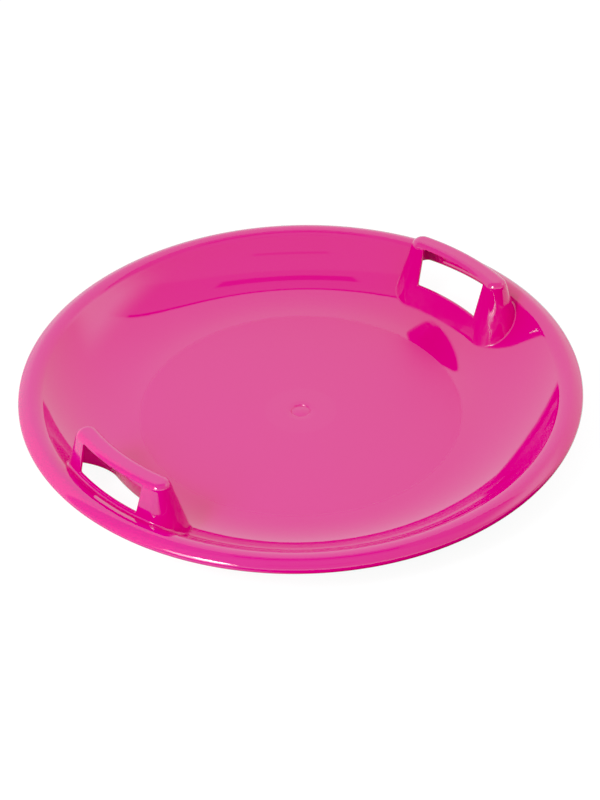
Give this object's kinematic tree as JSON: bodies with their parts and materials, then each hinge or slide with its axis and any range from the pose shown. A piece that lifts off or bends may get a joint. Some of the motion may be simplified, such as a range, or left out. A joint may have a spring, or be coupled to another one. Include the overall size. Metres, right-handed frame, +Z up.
{
  "type": "saucer sled",
  "caption": "Round dished snow sled with a flat floor, a curved bowl wall, a turned-down rim and hollow hand holds moulded opposite each other just inside the rim.",
  "frame": {"origin": "centre of the flat underside of the floor, where the sled rests", "axes": "+Z up along the dish's axis, X through the middles of both hand holds, +X to the right hand hold, -Y to the front"},
  "size_m": [0.6, 0.6, 0.0815],
  "materials": {
    "gloss_moulding": "polished mould, self-coloured magenta polyethylene",
    "satin_floor": "fine satin mould texture, self-coloured magenta polyethylene"
  },
  "bodies": {
    "root": {"floor_disc": "satin_floor", "bowl_wall": "gloss_moulding", "rim": "gloss_moulding", "left_grip": "gloss_moulding", "left_front_post": "gloss_moulding", "left_rear_post": "gloss_moulding", "left_inner_sill": "gloss_moulding", "left_outer_sill": "gloss_moulding", "right_grip": "gloss_moulding", "right_front_post": "gloss_moulding", "right_rear_post": "gloss_moulding", "right_inner_sill": "gloss_moulding", "right_outer_sill": "gloss_moulding"}
  },
  "joints": []
}
